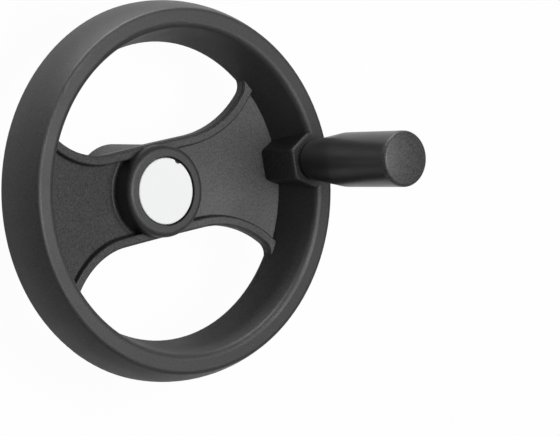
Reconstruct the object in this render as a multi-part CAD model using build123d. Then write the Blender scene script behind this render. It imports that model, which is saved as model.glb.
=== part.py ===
from build123d import *
import os
from math import hypot, radians, sqrt, tan

# Machine handwheel with two spokes and a revolving grip, in millimetres.
# The wheel's axis is Z and the origin is the centre of the hub's back face, on which it rests.
# Plus X runs along the spoke that carries the grip.

# Rim
wheel_radius = 100.0
rim_depth = 29.2
rim_front_z = 69.0
rim_crest_setback = 5.1
rim_widest_drop = 21.5
rim_face_width = 9.5
rim_inner_taper = 7.65
rim_crest_round = 2.6
rim_inner_round = 3.5
rim_back_outer_round = 4.5
rim_back_inner_round = 2.4

# Web: a dished plate with a raised flange along both openings. Thickness and pocket depth
# are measured at the rim's wall, and the pockets get deeper towards the hub.
web_flange_drop = 22.4
web_thickness = 6.2
flange_dish_angle = 5.0
pocket_dish_angle = 8.6
web_half_width = 24.5
web_straight_half = 26.2
web_flare_radius = 48.0
web_corner_radius = 7.6
web_rim_overlap = 3.5
flange_width = 4.8
flange_edge_round = 0.9
pocket_depth = 2.7
pocket_corner_radius = 1.5
pocket_floor_round = 0.9
parting_drop = 2.4
parting_ledge = 0.35

# Hub
hub_back_radius = 25.3
hub_front_radius = 24.3
hub_length = 48.9
hub_front_round = 3.0
hub_back_chamfer = 0.8
hub_root_round = 1.7

# Bush moulded into the hub
bore_radius = 9.0
bush_radius = 14.0
bush_setback = 10.9
bush_chamfer = 0.8
bush_groove_width = 8.0
bush_groove_depth = 1.0

# Cap sunk in the hub's front
cap_radius = 17.4
cap_edge_gap = 1.0
cap_plate = 3.1
cap_sink = 0.4
cap_edge_chamfer = 0.35
cap_skirt_radius = 15.6
cap_skirt_wall = 1.4
cap_skirt_length = 3.0
cap_notch_radius = 2.3
cap_notch_depth = 1.3
cap_notch_angle = 53.5

# Hexagonal boss that carries the grip
grip_axis_inset = 15.7
boss_across_flats = 27.0
boss_corner_round = 2.5
boss_top_round = 1.3
boss_rim_inset = 6.0

# Threaded insert moulded into the boss
insert_radius = 7.0
insert_length = 18.0
insert_groove_width = 2.4
insert_groove_depth = 0.7
thread_radius = 5.0

# Spindle on which the grip turns
spindle_radius = 6.0
spindle_thread_length = 15.0
collar_radius = 8.6
collar_height = 1.2
spindle_tip = 2.6
spindle_tip_chamfer = 0.6
socket_across_flats = 6.0
socket_depth = 5.0

# Washer and spring ring at the spindle's free end
washer_radius = 9.4
washer_thickness = 1.0
ring_groove_depth = 1.0
ring_thickness = 1.2
ring_width = 2.4
ring_opening = 3.2

# Grip sleeve
grip_length = 75.4
grip_start_radius = 10.6
grip_kink_radius = 14.45
grip_kink_height = 27.0
grip_end_radius = 14.65
grip_start_round = 1.3
grip_kink_round = 30.0
grip_counterbore_radius = 10.5
grip_counterbore_depth = 13.0

# End cap of the grip
end_cap_height = 2.8
end_cap_dome = 1.3
end_cap_edge_round = 2.0
end_cap_plug_length = 4.0
end_cap_plug_wall = 1.6

# Clearances
moulded_gap = 0.05
thread_gap = 0.05
running_gap = 0.1
axial_gap = 0.2
plug_gap = 0.05
washer_gap = 0.15
ring_gap = 0.05
surface_match = 0.01

# Worked out from the sizes above
rim_back_z = rim_front_z - rim_depth
crest_radius = wheel_radius - rim_crest_setback
rim_inner_radius = crest_radius - rim_face_width
rim_wall_slope = rim_inner_taper / rim_depth
web_wall_radius = rim_inner_radius - rim_wall_slope * web_flange_drop
web_outline_radius = web_wall_radius + parting_ledge
flange_rim_z = rim_front_z - web_flange_drop
flange_slope = tan(radians(flange_dish_angle))
pocket_slope = tan(radians(pocket_dish_angle))
grip_axis_radius = wheel_radius - grip_axis_inset
grip_start_z = rim_front_z + collar_height + axial_gap
grip_end_z = grip_start_z + grip_length - end_cap_dome
sleeve_end_z = grip_end_z - end_cap_height
counterbore_floor_z = grip_end_z - grip_counterbore_depth
washer_z = counterbore_floor_z + axial_gap
ring_z = washer_z + washer_thickness + ring_gap
bush_length = hub_length - bush_setback
cap_top_z = hub_length - cap_sink
cap_rebate_z = cap_top_z - cap_plate


def section_face(*edges):
    """Flat section from edges whose points are (radius, height)."""
    return make_face(edges)


def section_polygon(*points):
    """Flat section from the corners of a closed outline, as (radius, height)."""
    return make_face(Polyline(*points, close=True))


def rounded(section, *rounds):
    """Section with the corner nearest each (point, radius) rounded."""
    for place, radius in rounds:
        section = fillet(section.vertices().sort_by_distance(place)[0], radius)
    return section


def bevelled(section, *bevels):
    """Section with the corner nearest each (point, length) chamfered."""
    for place, length in bevels:
        section = chamfer(section.vertices().sort_by_distance(place)[0], length)
    return section


def turned(section):
    """Solid turned about Z from a section of radius and height."""
    return revolve(Plane.XZ * section, Axis.Z)


def rod(radius, bottom_z, top_z):
    """Plain rod turned about Z."""
    return turned(section_polygon((0, bottom_z), (radius, bottom_z), (radius, top_z), (0, top_z)))


def grooved_rod(radius, bottom_z, top_z, groove_width, groove_depth, grow=0.0):
    """Rod turned about Z with one groove halfway up, grown evenly into what surrounds it."""
    outer, floor = radius + grow, radius - groove_depth + grow
    low = (bottom_z + top_z - groove_width) / 2 + grow
    high = (bottom_z + top_z + groove_width) / 2 - grow
    outline = [(0, bottom_z), (outer, bottom_z), (outer, low), (floor, low), (floor, high)]
    outline += [(outer, high), (outer, top_z), (0, top_z)]
    return turned(section_polygon(*outline))


def at_grip(shape):
    """Shape moved from the wheel's axis to the grip's axis."""
    return Pos(grip_axis_radius, 0, 0) * shape


def rim():
    """Closed ring with a convex outside, a flat front face and a tapered inner wall."""
    side_radius = (rim_crest_setback**2 + rim_widest_drop**2) / (2 * rim_crest_setback)
    below_widest = rim_depth - rim_widest_drop
    back_radius = wheel_radius - side_radius + sqrt(side_radius**2 - below_widest**2)
    crest = (crest_radius, rim_front_z)
    widest = (wheel_radius, rim_front_z - rim_widest_drop)
    outer_back = (back_radius, rim_back_z)
    inner_back = (rim_inner_radius - rim_inner_taper, rim_back_z)
    inner_front = (rim_inner_radius, rim_front_z)
    section = section_face(
        ThreePointArc(crest, widest, outer_back),
        Polyline(outer_back, inner_back, inner_front, crest),
    )
    section = rounded(
        section,
        (crest, rim_crest_round),
        (inner_front, rim_inner_round),
        (outer_back, rim_back_outer_round),
        (inner_back, rim_back_inner_round),
    )
    return turned(section)


def arc_about(centre, start, end):
    """Shorter arc about a centre from a start point to an end point."""
    cx, cy = centre
    radius = hypot(start[0] - cx, start[1] - cy)
    mx, my = start[0] + end[0] - 2 * cx, start[1] + end[1] - 2 * cy
    scale = radius / hypot(mx, my)
    return ThreePointArc(start, (cx + mx * scale, cy + my * scale), end)


def opening_outline(grow, corner_radius):
    """Flat face of the opening above the web, grown outwards by a distance.

    The web's edge is straight past the hub, then flares out on a large arc and
    turns into the rim's inner wall on a corner arc that touches both.
    """
    flare_x, flare_y = web_straight_half, web_half_width + web_flare_radius
    flare_radius = web_flare_radius + grow
    outline_radius = web_outline_radius + grow
    rim_to_corner = outline_radius - corner_radius
    flare_to_corner = flare_radius - corner_radius
    span = hypot(flare_x, flare_y)
    along = (rim_to_corner**2 - flare_to_corner**2 + span**2) / (2 * span)
    aside = sqrt(rim_to_corner**2 - along**2)
    corner_x = (along * flare_x + aside * flare_y) / span
    corner_y = (along * flare_y - aside * flare_x) / span

    start = (web_straight_half, web_half_width - grow)
    flare_reach = flare_radius / flare_to_corner
    on_flare = (
        flare_x + (corner_x - flare_x) * flare_reach,
        flare_y + (corner_y - flare_y) * flare_reach,
    )
    rim_reach = outline_radius / rim_to_corner
    on_rim = (corner_x * rim_reach, corner_y * rim_reach)
    half = [
        Line((0, web_half_width - grow), start),
        arc_about((flare_x, flare_y), start, on_flare),
        arc_about((corner_x, corner_y), on_flare, on_rim),
        arc_about((0, 0), on_rim, (0, outline_radius)),
    ]
    return make_face(half + [mirror(edge, about=Plane.YZ) for edge in half])


def both_openings(grow=0.0, corner_radius=web_corner_radius):
    """Prisms through the wheel over both openings."""
    prism = extrude(opening_outline(grow, corner_radius), amount=rim_front_z)
    return prism + mirror(prism, about=Plane.XZ)


def flange_z(radius, drop=0.0):
    """Height of the flanges' faces at a radius, or of a surface at a drop below them."""
    return flange_rim_z - drop - (web_wall_radius - radius) * flange_slope


def floor_z(radius, drop=pocket_depth):
    """Height of the pockets' floors at a radius, or of the web's back with its own drop."""
    return flange_rim_z - drop - (web_wall_radius - radius) * pocket_slope


def cone_below(height_at, drop, outer_radius):
    """Blank from above the rim down to a dished surface."""
    return turned(
        section_polygon(
            (0, rim_front_z + rim_depth),
            (0, height_at(0, drop)),
            (outer_radius, height_at(outer_radius, drop)),
            (outer_radius, rim_front_z + rim_depth),
        )
    )


def is_web_edge(edge, height_at, drop):
    """True for an edge on a dished surface, between the hub and the rim's wall."""
    middle = edge @ 0.5
    radius = hypot(middle.X, middle.Y)
    on_surface = abs(middle.Z - height_at(radius, drop)) < surface_match
    return on_surface and hub_back_radius < radius < web_wall_radius


def is_flange_edge(edge):
    """True for the edges of the flanges' top faces."""
    return is_web_edge(edge, flange_z, 0)


def is_pocket_floor_edge(edge):
    """True for the edges of the pockets' floors."""
    return is_web_edge(edge, floor_z, pocket_depth)


def web():
    """Dished plate with two openings, a flange along each and pockets between them."""
    outer = web_wall_radius + web_rim_overlap
    plate = cone_below(floor_z, web_thickness, outer) - cone_below(flange_z, 0, outer)
    plate -= both_openings(-parting_ledge, web_corner_radius - parting_ledge)
    plate -= both_openings() & cone_below(flange_z, parting_drop, outer)
    pocket = cone_below(floor_z, pocket_depth, outer)
    plate -= pocket - both_openings(flange_width, pocket_corner_radius)
    plate = fillet(plate.edges().filter_by(is_pocket_floor_edge), pocket_floor_round)
    return fillet(plate.edges().filter_by(is_flange_edge), flange_edge_round)


def hub_radius(height):
    """Radius of the hub's drafted side at a height."""
    return hub_back_radius - (hub_back_radius - hub_front_radius) * height / hub_length


def hub():
    """Drafted hub with a round front edge, before its recess is cut."""
    front = (hub_front_radius, hub_length)
    back = (hub_back_radius, 0)
    section = section_polygon((0, 0), back, front, (0, hub_length))
    section = rounded(section, (front, hub_front_round))
    return turned(bevelled(section, (back, hub_back_chamfer)))


def hub_root():
    """Hollow round between the hub and the pocket floor, inside the pockets only."""
    side = hub_radius(flange_z(hub_back_radius))
    reach = side + hub_root_round
    low_z = floor_z(reach)
    top_z = low_z + hub_root_round
    inside = hub_front_radius - hub_front_round
    sunk_z = low_z - (web_thickness - pocket_depth) / 2
    section = section_face(
        arc_about((reach, top_z), (reach, low_z), (side, top_z)),
        Polyline((side, top_z), (inside, top_z), (inside, sunk_z), (reach, sunk_z), (reach, low_z)),
    )
    return turned(section) - both_openings(flange_width, pocket_corner_radius)


def boss():
    """Hexagonal boss on the spoke, flush with the rim's front face and merged with the rim."""
    half = boss_across_flats / 2
    sketch = RegularPolygon(half, 6, major_radius=False, rotation=30)
    sketch = fillet(sketch.vertices(), boss_corner_round)
    start_z = floor_z(grip_axis_radius - half, (pocket_depth + web_thickness) / 2)
    block = extrude(Plane.XY.offset(start_z) * sketch, rim_front_z - start_z)
    block = fillet(block.faces().sort_by(Axis.Z)[-1].edges(), boss_top_round)
    return at_grip(block) & rod(crest_radius - boss_rim_inset, 0, rim_front_z)


def hub_bush():
    """Steel bush with the bore for the shaft."""
    bush = grooved_rod(bush_radius, 0, bush_length, bush_groove_width, bush_groove_depth)
    bush -= rod(bore_radius, 0, bush_length)
    mouths = bush.edges().filter_by(GeomType.CIRCLE).filter_by(lambda edge: edge.radius == bore_radius)
    return chamfer(mouths, bush_chamfer)


def hub_hollow():
    """All that is cut from the hub: the bush's seat, the recess over it and the cap's rebate."""
    seat = grooved_rod(
        bush_radius, 0, bush_length, bush_groove_width, bush_groove_depth, moulded_gap
    )
    recess = rod(cap_skirt_radius + plug_gap, bush_length, hub_length)
    rebate = rod(cap_radius + cap_edge_gap, cap_rebate_z, hub_length)
    return seat + recess + rebate


def hub_cap():
    """Flat cap with a press-in skirt below and a prising notch in its edge."""
    plate = rod(cap_radius, cap_rebate_z, cap_top_z)
    plate = chamfer(plate.faces().sort_by(Axis.Z)[-1].edges(), cap_edge_chamfer)
    skirt_z = cap_rebate_z - cap_skirt_length
    skirt = rod(cap_skirt_radius, skirt_z, cap_rebate_z)
    skirt -= rod(cap_skirt_radius - cap_skirt_wall, skirt_z, cap_rebate_z)
    notch_place = cap_radius + cap_notch_radius - cap_notch_depth
    notch = Pos(notch_place, 0, 0) * rod(cap_notch_radius, cap_rebate_z, cap_top_z)
    return plate + skirt - Rot(Z=cap_notch_angle) * notch


def insert_blank(bottom_z, grow=0.0):
    """Outside of the threaded insert, and with a gap added, its seat in the boss."""
    return grooved_rod(
        insert_radius, bottom_z, rim_front_z, insert_groove_width, insert_groove_depth, grow
    )


def boss_insert():
    """Threaded insert with one anchoring groove, its thread left plain."""
    bottom_z = rim_front_z - insert_length
    hole = rod(thread_radius + thread_gap, bottom_z, rim_front_z)
    return at_grip(insert_blank(bottom_z) - hole)


def wheel_body():
    """Rim, web, hub and boss as one moulding."""
    body = rim() + web() + hub() + hub_root() + boss()
    return body - hub_hollow() - at_grip(insert_blank(rim_front_z - insert_length, moulded_gap))


def spindle():
    """Pin with a thread end, a collar that sits on the boss, and a groove for the ring."""
    thread_z = rim_front_z - spindle_thread_length
    collar_z = rim_front_z + collar_height
    floor = spindle_radius - ring_groove_depth
    groove_low, groove_high = ring_z - ring_gap, ring_z + ring_thickness + ring_gap
    tip_z = groove_high + spindle_tip
    outline = [(0, thread_z), (thread_radius, thread_z), (thread_radius, rim_front_z)]
    outline += [(collar_radius, rim_front_z), (collar_radius, collar_z), (spindle_radius, collar_z)]
    outline += [(spindle_radius, groove_low), (floor, groove_low), (floor, groove_high)]
    outline += [(spindle_radius, groove_high), (spindle_radius, tip_z), (0, tip_z)]
    section = bevelled(section_polygon(*outline), ((spindle_radius, tip_z), spindle_tip_chamfer))
    socket = RegularPolygon(socket_across_flats / 2, 6, major_radius=False)
    return at_grip(turned(section) - extrude(Plane.XY.offset(tip_z) * socket, -socket_depth))


def retaining_washer():
    """Washer between the grip's counterbore floor and the ring."""
    top_z = washer_z + washer_thickness
    hole = rod(spindle_radius + washer_gap, washer_z, top_z)
    return at_grip(rod(washer_radius, washer_z, top_z) - hole)


def retaining_ring():
    """Open spring ring in the spindle's groove."""
    inner = spindle_radius - ring_groove_depth + ring_gap
    outer = inner + ring_width
    top_z = ring_z + ring_thickness
    slot = Pos(outer, 0, (ring_z + top_z) / 2) * Box(2 * outer, ring_opening, ring_thickness)
    return at_grip(rod(outer, ring_z, top_z) - rod(inner, ring_z, top_z) - slot)


def grip_sleeve():
    """Tapered sleeve: a cone up to the kink, then nearly straight to the end cap."""
    bore = spindle_radius + running_gap
    start = (grip_start_radius, grip_start_z)
    kink = (grip_kink_radius, grip_start_z + grip_kink_height)
    section = section_polygon(
        (bore, grip_start_z),
        start,
        kink,
        (grip_end_radius, sleeve_end_z),
        (grip_counterbore_radius, sleeve_end_z),
        (grip_counterbore_radius, counterbore_floor_z),
        (bore, counterbore_floor_z),
    )
    section = rounded(section, (start, grip_start_round), (kink, grip_kink_round))
    return at_grip(turned(section))


def grip_end_cap():
    """Domed cap flush with the sleeve, with a hollow plug that presses into the counterbore."""
    dome_radius = (grip_end_radius**2 + end_cap_dome**2) / (2 * end_cap_dome)
    top_z = grip_end_z + end_cap_dome
    plug = grip_counterbore_radius - plug_gap
    inside = plug - end_cap_plug_wall
    plug_z = sleeve_end_z - end_cap_plug_length
    edge = (grip_end_radius, grip_end_z)
    section = section_face(
        arc_about((0, top_z - dome_radius), edge, (0, top_z)),
        Polyline((0, top_z), (0, sleeve_end_z), (inside, sleeve_end_z), (inside, plug_z)),
        Polyline((inside, plug_z), (plug, plug_z), (plug, sleeve_end_z)),
        Polyline((plug, sleeve_end_z), (grip_end_radius, sleeve_end_z), edge),
    )
    return at_grip(turned(rounded(section, (edge, end_cap_edge_round))))


nodes = {
    "wheel_body": wheel_body(),
    "hub_bush": hub_bush(),
    "hub_cap": hub_cap(),
    "boss_insert": boss_insert(),
    "spindle": spindle(),
    "retaining_washer": retaining_washer(),
    "retaining_ring": retaining_ring(),
    "grip_sleeve": grip_sleeve(),
    "grip_end_cap": grip_end_cap(),
}

os.makedirs("parts", exist_ok=True)
for name, shape in nodes.items():
    shape.label = name
    export_step(shape, f"parts/{name}.step")
    size = shape.bounding_box().size
    print(f"{name}: {shape.volume:.0f} mm3, {size.X:.1f} x {size.Y:.1f} x {size.Z:.1f} mm")
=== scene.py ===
# %% [markdown]
# Machine handwheel, dressed for a picture
#
# The wheel is one moulding in dark glass-filled nylon. A light grey cap closes the hub,
# and a smooth grip turns on a steel spindle that is screwed into a boss inside the rim.
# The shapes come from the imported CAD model, which is loaded first and never changed.
# Lengths in this file are metres, and the wheel's axis is Z.

import bpy
from mathutils import Matrix, Vector

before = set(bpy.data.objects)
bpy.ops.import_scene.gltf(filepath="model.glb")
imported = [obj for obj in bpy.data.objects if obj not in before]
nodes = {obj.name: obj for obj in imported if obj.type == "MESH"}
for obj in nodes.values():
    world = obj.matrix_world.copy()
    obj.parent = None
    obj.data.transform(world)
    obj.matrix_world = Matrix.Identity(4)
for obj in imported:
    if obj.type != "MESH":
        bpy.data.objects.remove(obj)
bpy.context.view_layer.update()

for name, node in sorted(nodes.items()):
    print(name, "has", len(node.data.polygons), "faces")

# %% [markdown]
# The camera
#
# The picture was taken from the open side of the wheel, about 38 degrees off its axis and
# from far away, so the ellipses are nearly true. The wheel lies on its hub here, and the
# camera is turned so that the wheel's axis runs across the picture, as it does there.
# A camera can be aimed with a tracking constraint or by three angles. Giving the picture's
# right and up directions outright is the surest way, since the two fix the third.

# %% Place the camera
CAMERA_PLACE = Vector((-1.02494, 0.20043, 1.45677))
PICTURE_RIGHT = Vector((0.76712, -0.15463, 0.62259))
PICTURE_UP = Vector((0.20039, 0.97971, -0.00360))
LENS_MM = 215.1
SIGHT_END = 20

backward = PICTURE_RIGHT.cross(PICTURE_UP).normalized()
up = backward.cross(PICTURE_RIGHT).normalized()
turn = Matrix((PICTURE_RIGHT.normalized(), up, backward)).transposed()
camera_data = bpy.data.cameras.new("studio_camera")
camera_data.lens = LENS_MM
camera_data.clip_end = SIGHT_END
camera = bpy.data.objects.new("studio_camera", camera_data)
bpy.context.scene.collection.objects.link(camera)
camera.matrix_world = Matrix.Translation(CAMERA_PLACE) @ turn.to_4x4()
bpy.context.scene.camera = camera
print("camera is", round(CAMERA_PLACE.length, 3), "m from the hub")

# %% [markdown]
# The floor
#
# The wheel rests on its hub on a white sweep. A plane is enough for it, since the picture
# looks down on the floor and never sees its end.

# %% Lay the floor
FLOOR_HALF = 6.0

bpy.ops.object.select_all(action="DESELECT")
bpy.ops.mesh.primitive_plane_add(size=2 * FLOOR_HALF)
floor = bpy.context.object
floor.name = "studio_floor"
print("floor is", 2 * FLOOR_HALF, "m square")

# %% [markdown]
# The white card
#
# A satin moulding shows its form by what it mirrors along its edges. Here reflections
# find a white card on the floor beyond the wheel, and the rest of the floor dark. The
# card draws the bright edges of the rim and the grip, and the dark keeps the inner walls
# deep. It could be a plane of its own, but as a part of the floor's paint it can have
# soft ends: two Map Range nodes let it rise and fall along X, and a product joins them.

# %% Make a helper for the card
CARD_START, CARD_FULL = 0.02, 0.16
CARD_FADE, CARD_END = 0.4, 0.8
CARD_LEVEL = 1.0


def card_strength(tree):
    """How bright the card is at a place on the floor."""
    place = tree.nodes.new("ShaderNodeTexCoord")
    across = tree.nodes.new("ShaderNodeSeparateXYZ")
    rise = tree.nodes.new("ShaderNodeMapRange")
    rise.inputs["From Min"].default_value = CARD_START
    rise.inputs["From Max"].default_value = CARD_FULL
    fall = tree.nodes.new("ShaderNodeMapRange")
    fall.inputs["From Min"].default_value = CARD_FADE
    fall.inputs["From Max"].default_value = CARD_END
    fall.inputs["To Min"].default_value = CARD_LEVEL
    fall.inputs["To Max"].default_value = 0.0
    card = tree.nodes.new("ShaderNodeMath")
    card.operation = "MULTIPLY"
    tree.links.new(place.outputs["Object"], across.inputs[0])
    tree.links.new(across.outputs["X"], rise.inputs["Value"])
    tree.links.new(across.outputs["X"], fall.inputs["Value"])
    tree.links.new(rise.outputs["Result"], card.inputs[0])
    tree.links.new(fall.outputs["Result"], card.inputs[1])
    return card.outputs[0]


print("card is whole from", CARD_FULL, "to", CARD_FADE, "m beyond the hub")

# %% [markdown]
# The floor's white
#
# Where the camera sees the floor, it is almost a plain white, so the wheel stands clear of
# it. That could be had by lighting the floor more, but it would bleach the wheel too.
# Light Path tells the shader which ray asks, so only the seen floor is lifted.

# %% Paint the floor
FLOOR_TONE = 0.7
FLOOR_LIFT = 0.97


def new_material(name):
    """A material with an empty tree and an output, ready for its shader."""
    material = bpy.data.materials.new(name)
    material.use_nodes = True
    material.node_tree.nodes.clear()
    output = material.node_tree.nodes.new("ShaderNodeOutputMaterial")
    return material, material.node_tree, output


floor_paint, tree, output = new_material("floor_white")
matt = tree.nodes.new("ShaderNodeBsdfDiffuse")
matt.inputs["Color"].default_value = (FLOOR_TONE, FLOOR_TONE, FLOOR_TONE, 1)
lift = tree.nodes.new("ShaderNodeEmission")
lift.inputs["Color"].default_value = (1, 1, 1, 1)
seen = tree.nodes.new("ShaderNodeLightPath")
mirrored = tree.nodes.new("ShaderNodeMath")
mirrored.operation = "MULTIPLY"
share = tree.nodes.new("ShaderNodeMath")
share.operation = "MULTIPLY_ADD"
share.inputs[1].default_value = FLOOR_LIFT
blend = tree.nodes.new("ShaderNodeMixShader")
tree.links.new(card_strength(tree), mirrored.inputs[0])
tree.links.new(seen.outputs["Is Glossy Ray"], mirrored.inputs[1])
tree.links.new(seen.outputs["Is Camera Ray"], share.inputs[0])
tree.links.new(mirrored.outputs[0], share.inputs[2])
tree.links.new(share.outputs[0], blend.inputs["Fac"])
tree.links.new(matt.outputs[0], blend.inputs[1])
tree.links.new(lift.outputs[0], blend.inputs[2])
tree.links.new(blend.outputs[0], output.inputs["Surface"])
floor.data.materials.append(floor_paint)
print("floor is", floor_paint.name)

# %% [markdown]
# The lamps
#
# In the picture every face that looks out of the open side is evenly lit, a little more
# near the top, and faces that look back at the camera's side are nearly black. So one
# large soft lamp hangs over the wheel's face, and a low flat one stands level with the
# rim on its upper side, where the rim itself keeps it off the inner walls. A point lamp
# would draw hard shadows, so both are area lamps.

# %% Hang the lamps
LAMP_AIM = Vector((0, 0, 0.05))


def soft_lamp(name, place, width, height, power):
    """A soft lamp of a width and a height at a place, turned towards the wheel."""
    data = bpy.data.lights.new(name, "AREA")
    data.shape = "RECTANGLE"
    data.size = width
    data.size_y = height
    data.energy = power
    lamp = bpy.data.objects.new(name, data)
    bpy.context.scene.collection.objects.link(lamp)
    lamp.location = place
    aim = LAMP_AIM - Vector(place)
    lamp.rotation_euler = aim.to_track_quat("-Z", "Y").to_euler()
    print(name, "at", tuple(place), "with", power, "W")


soft_lamp("face_lamp", (0.1, 0.03, 1.0), 0.6, 0.6, 9)
soft_lamp("upper_lamp", (0.1, 1.1, 0.1), 0.9, 0.1, 12)

# %% [markdown]
# The world
#
# The world stands for the room round the wheel. It adds a faint even base, so that no
# shadow is fully black, and it is fainter still in reflections, which keeps the dark
# walls dark. One Background strength would be the same for every ray, so Light Path
# picks it: one of the two faint levels, or full white where the camera sees past the floor.

# %% Paint the world
WORLD_BASE = 0.08
REFLECTED_BASE = 0.06

world = bpy.data.worlds.new("light_tent")
bpy.context.scene.world = world
world.use_nodes = True
tree = world.node_tree
tree.nodes.clear()
output = tree.nodes.new("ShaderNodeOutputWorld")
seen = tree.nodes.new("ShaderNodeLightPath")
base = tree.nodes.new("ShaderNodeMix")
base.data_type = "FLOAT"
base.inputs["A"].default_value = WORLD_BASE
base.inputs["B"].default_value = REFLECTED_BASE
level = tree.nodes.new("ShaderNodeMix")
level.data_type = "FLOAT"
level.inputs["B"].default_value = 1.0
sky = tree.nodes.new("ShaderNodeBackground")
sky.inputs["Color"].default_value = (1, 1, 1, 1)
tree.links.new(seen.outputs["Is Glossy Ray"], base.inputs["Factor"])
tree.links.new(base.outputs[0], level.inputs["A"])
tree.links.new(seen.outputs["Is Camera Ray"], level.inputs["Factor"])
tree.links.new(level.outputs[0], sky.inputs["Strength"])
tree.links.new(sky.outputs[0], output.inputs["Surface"])
bpy.context.scene.view_settings.view_transform = "Standard"
print("world gives", WORLD_BASE, "and", REFLECTED_BASE, "in reflections")

# %% [markdown]
# Grain
#
# A moulding copies the fine spark-eroded skin of its tool, and short glass fibres show
# through as a faint speckle. All the plastics share that, in different amounts. The nodes
# could be copied into each material, but a node group holds them once, so it is made
# first, with a socket for each amount.

# %% Open the grain group
SPECKLE_SIZE = 1000.0
SKIN_SIZE = 3200.0
FLOAT, COLOUR = "NodeSocketFloat", "NodeSocketColor"


def new_group(name, ins, outs):
    """A shader node group with named float or colour sockets."""
    group = bpy.data.node_groups.new(name, "ShaderNodeTree")
    for label, kind, value in ins:
        socket = group.interface.new_socket(label, in_out="INPUT", socket_type=kind)
        socket.default_value = value
    for label, kind in outs:
        group.interface.new_socket(label, in_out="OUTPUT", socket_type=kind)
    entry = group.nodes.new("NodeGroupInput")
    leave = group.nodes.new("NodeGroupOutput")
    return group, entry, leave


grain, entry, leave = new_group(
    "moulded_grain",
    [
        ("Colour", COLOUR, (0.05, 0.05, 0.05, 1)),
        ("Speckle", FLOAT, 0.2),
        ("Web Speckle", FLOAT, 0.2),
        ("Speckle Size", FLOAT, SPECKLE_SIZE),
        ("Skin Size", FLOAT, SKIN_SIZE),
        ("Roughness", FLOAT, 0.5),
    ],
    [("Colour", COLOUR), ("Roughness", FLOAT), ("Height", FLOAT)],
)
print("grain group has", len(grain.interface.items_tree), "sockets")

# %% [markdown]
# Noises
#
# Three noises make the skin: a fine one for the speckle's colour, a finer one for the
# bumps, and a slow one that lets the gloss drift a little over the moulding. They read
# Object coordinates, so they move with the piece and are equally fine on all pieces.

# %% Add the noises
CLOUD_SIZE = 60.0

place = grain.nodes.new("ShaderNodeTexCoord")
fibre = grain.nodes.new("ShaderNodeTexNoise")
fibre.inputs["Detail"].default_value = 3.0
skin = grain.nodes.new("ShaderNodeTexNoise")
skin.inputs["Detail"].default_value = 2.0
cloud = grain.nodes.new("ShaderNodeTexNoise")
cloud.inputs["Scale"].default_value = CLOUD_SIZE
for noise, size in ((fibre, "Speckle Size"), (skin, "Skin Size")):
    grain.links.new(place.outputs["Object"], noise.inputs["Vector"])
    grain.links.new(entry.outputs[size], noise.inputs["Scale"])
grain.links.new(place.outputs["Object"], cloud.inputs["Vector"])
print("noises read", place.name)

# %% [markdown]
# The rougher web
#
# The web's side of the tool is rougher than the rim's, so between the hub and the rim's
# inner wall the speckle has an amount of its own. A second material would need faces
# that end at the web's border. The distance from the wheel's axis needs none: the height
# is multiplied away, and Compare asks if the rest lies between two radii.

# %% Find the web
WEB_START, WEB_END = 0.0245, 0.0795

flat = grain.nodes.new("ShaderNodeVectorMath")
flat.operation = "MULTIPLY"
flat.inputs[1].default_value = (1, 1, 0)
reach = grain.nodes.new("ShaderNodeVectorMath")
reach.operation = "LENGTH"
on_web = grain.nodes.new("ShaderNodeMath")
on_web.operation = "COMPARE"
on_web.inputs[1].default_value = (WEB_START + WEB_END) / 2
on_web.inputs[2].default_value = (WEB_END - WEB_START) / 2
strength = grain.nodes.new("ShaderNodeMix")
strength.data_type = "FLOAT"
grain.links.new(place.outputs["Object"], flat.inputs[0])
grain.links.new(flat.outputs[0], reach.inputs[0])
grain.links.new(reach.outputs["Value"], on_web.inputs[0])
grain.links.new(on_web.outputs[0], strength.inputs["Factor"])
grain.links.new(entry.outputs["Speckle"], strength.inputs["A"])
grain.links.new(entry.outputs["Web Speckle"], strength.inputs["B"])
print("web runs from", WEB_START, "to", WEB_END, "m")

# %% [markdown]
# Speckle and gloss
#
# A noise stays mostly between 0.3 and 0.7, so a Map Range stretches that span to the swing
# that is wanted. The speckle swings both ways round the moulding's colour, and the gloss
# a little round its roughness. The finest noise leaves the group as it is, and each
# material turns it into bumps.

# %% Finish the grain group
NOISE_LOW, NOISE_HIGH = 0.3, 0.7
GLOSS_SWING = 0.04


def stretched(noise, swing):
    """A noise's usual span, stretched to swing both ways round zero."""
    spread = grain.nodes.new("ShaderNodeMapRange")
    spread.inputs["From Min"].default_value = NOISE_LOW
    spread.inputs["From Max"].default_value = NOISE_HIGH
    spread.inputs["To Min"].default_value = -swing
    spread.inputs["To Max"].default_value = swing
    grain.links.new(noise.outputs["Fac"], spread.inputs["Value"])
    return spread.outputs["Result"]


amount = grain.nodes.new("ShaderNodeMath")
amount.operation = "MULTIPLY_ADD"
amount.inputs[2].default_value = 1.0
tint = grain.nodes.new("ShaderNodeVectorMath")
tint.operation = "SCALE"
rough = grain.nodes.new("ShaderNodeMath")
rough.operation = "ADD"
grain.links.new(stretched(fibre, 1.0), amount.inputs[0])
grain.links.new(strength.outputs[0], amount.inputs[1])
grain.links.new(entry.outputs["Colour"], tint.inputs[0])
grain.links.new(amount.outputs[0], tint.inputs["Scale"])
grain.links.new(tint.outputs[0], leave.inputs["Colour"])
grain.links.new(entry.outputs["Roughness"], rough.inputs[0])
grain.links.new(stretched(cloud, GLOSS_SWING), rough.inputs[1])
grain.links.new(rough.outputs[0], leave.inputs["Roughness"])
grain.links.new(skin.outputs["Fac"], leave.inputs["Height"])
print("grain group has", len(grain.nodes), "nodes")

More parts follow.
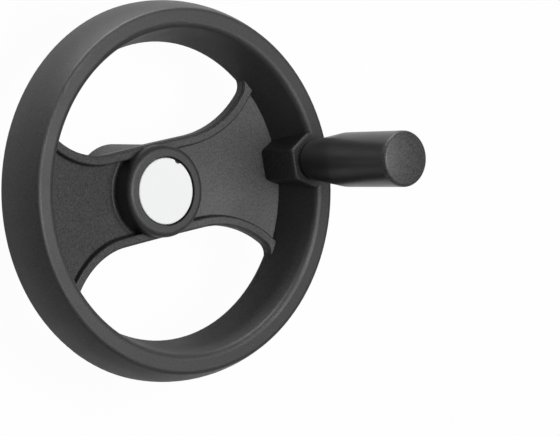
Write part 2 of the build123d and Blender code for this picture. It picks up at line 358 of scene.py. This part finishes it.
# %% [markdown]
# Plastics
#
# Four mouldings, four finishes. The wheel is satin with a visible speckle, and the grip's
# end cap has a coarser one. The grip comes from a polished tool, so it is smoother and
# mirrors the bright surroundings along its edges. The hub's cap is unfilled plastic, light
# grey and nearly even. One helper makes them all from the grain group, and each keeps its
# own shader.

# %% Mix the plastics
PLASTIC_IOR = 1.5


def plastic(name, colour, speckle, web_speckle, roughness, skin_depth):
    """A moulded plastic made from the grain group, with its bumps in metres."""
    material, tree, output = new_material(name)
    grained = tree.nodes.new("ShaderNodeGroup")
    grained.node_tree = grain
    grained.inputs["Colour"].default_value = (*colour, 1)
    grained.inputs["Speckle"].default_value = speckle
    grained.inputs["Web Speckle"].default_value = web_speckle
    grained.inputs["Roughness"].default_value = roughness
    bump = tree.nodes.new("ShaderNodeBump")
    bump.inputs["Strength"].default_value = 1.0
    bump.inputs["Distance"].default_value = skin_depth
    shader = tree.nodes.new("ShaderNodeBsdfPrincipled")
    shader.inputs["IOR"].default_value = PLASTIC_IOR
    tree.links.new(grained.outputs["Colour"], shader.inputs["Base Color"])
    tree.links.new(grained.outputs["Roughness"], shader.inputs["Roughness"])
    tree.links.new(grained.outputs["Height"], bump.inputs["Height"])
    tree.links.new(bump.outputs["Normal"], shader.inputs["Normal"])
    tree.links.new(shader.outputs[0], output.inputs["Surface"])
    print("mixed", name, "with roughness", roughness)
    return material


wheel_nylon = plastic("wheel_nylon", (0.038, 0.038, 0.039), 0.28, 0.65, 0.48, 0.00008)
end_nylon = plastic("end_nylon", (0.038, 0.038, 0.039), 0.6, 0.6, 0.46, 0.00008)
grip_nylon = plastic("grip_nylon", (0.022, 0.022, 0.023), 0.15, 0.15, 0.36, 0.00002)
cap_plastic = plastic("cap_plastic", (0.91, 0.915, 0.915), 0.01, 0.01, 0.5, 0.00002)

# %% [markdown]
# Metals
#
# The bush, spindle and washer are turned steel, the insert is brass, and the spring ring is
# dark. A lathe leaves fine rings round the part's own axis. A wave texture in rings gives
# them, and a Mapping node moves its centre onto the grip's axis where that is needed. The
# axis is measured on the spindle, so it follows the model.

# %% Turn the metals
TOOL_MARK = 1800.0
MARK_WOBBLE = 1.5
MARK_DEPTH = 0.00001
MARK_SMOOTHER, MARK_ROUGHER = 0.06, 0.08
spindle_across = [corner[0] for corner in nodes["spindle"].bound_box]
GRIP_AXIS = (min(spindle_across) + max(spindle_across)) / 2
print("grip's axis is at x", round(GRIP_AXIS, 5), "m")


def turned_metal(name, colour, roughness, axis_x=0.0):
    """A metal with lathe marks round an upright axis."""
    material, tree, output = new_material(name)
    place = tree.nodes.new("ShaderNodeTexCoord")
    centre = tree.nodes.new("ShaderNodeMapping")
    centre.inputs["Location"].default_value = (-axis_x, 0, 0)
    marks = tree.nodes.new("ShaderNodeTexWave")
    marks.wave_type = "RINGS"
    marks.rings_direction = "Z"
    marks.inputs["Scale"].default_value = TOOL_MARK
    marks.inputs["Distortion"].default_value = MARK_WOBBLE
    finish = tree.nodes.new("ShaderNodeMapRange")
    finish.inputs["To Min"].default_value = roughness - MARK_SMOOTHER
    finish.inputs["To Max"].default_value = roughness + MARK_ROUGHER
    bump = tree.nodes.new("ShaderNodeBump")
    bump.inputs["Distance"].default_value = MARK_DEPTH
    shader = tree.nodes.new("ShaderNodeBsdfPrincipled")
    shader.inputs["Base Color"].default_value = (*colour, 1)
    shader.inputs["Metallic"].default_value = 1.0
    tree.links.new(place.outputs["Object"], centre.inputs["Vector"])
    tree.links.new(centre.outputs[0], marks.inputs["Vector"])
    tree.links.new(marks.outputs["Fac"], finish.inputs["Value"])
    tree.links.new(finish.outputs["Result"], shader.inputs["Roughness"])
    tree.links.new(marks.outputs["Fac"], bump.inputs["Height"])
    tree.links.new(bump.outputs["Normal"], shader.inputs["Normal"])
    tree.links.new(shader.outputs[0], output.inputs["Surface"])
    return material


bush_steel = turned_metal("bush_steel", (0.58, 0.58, 0.59), 0.32)
spindle_steel = turned_metal("spindle_steel", (0.62, 0.62, 0.63), 0.28, GRIP_AXIS)
insert_brass = turned_metal("insert_brass", (0.72, 0.52, 0.24), 0.3, GRIP_AXIS)
ring_steel = turned_metal("ring_steel", (0.1, 0.1, 0.11), 0.4, GRIP_AXIS)

# %% [markdown]
# Finishes on the pieces
#
# Each piece gets the finish that it has on the real wheel. A mesh can hold several
# materials, one for each group of faces, but no piece here has two finishes, so one slot
# is enough. The slots are emptied first, in case the loaded mesh has one.

# %% Give each CAD node its finish
FINISHES = {
    "wheel_body": wheel_nylon,
    "hub_cap": cap_plastic,
    "hub_bush": bush_steel,
    "boss_insert": insert_brass,
    "spindle": spindle_steel,
    "retaining_washer": spindle_steel,
    "retaining_ring": ring_steel,
    "grip_sleeve": grip_nylon,
    "grip_end_cap": end_nylon,
}
for name, finish in FINISHES.items():
    mesh = nodes[name].data
    mesh.materials.clear()
    mesh.materials.append(finish)
    print(name, "is", finish.name)
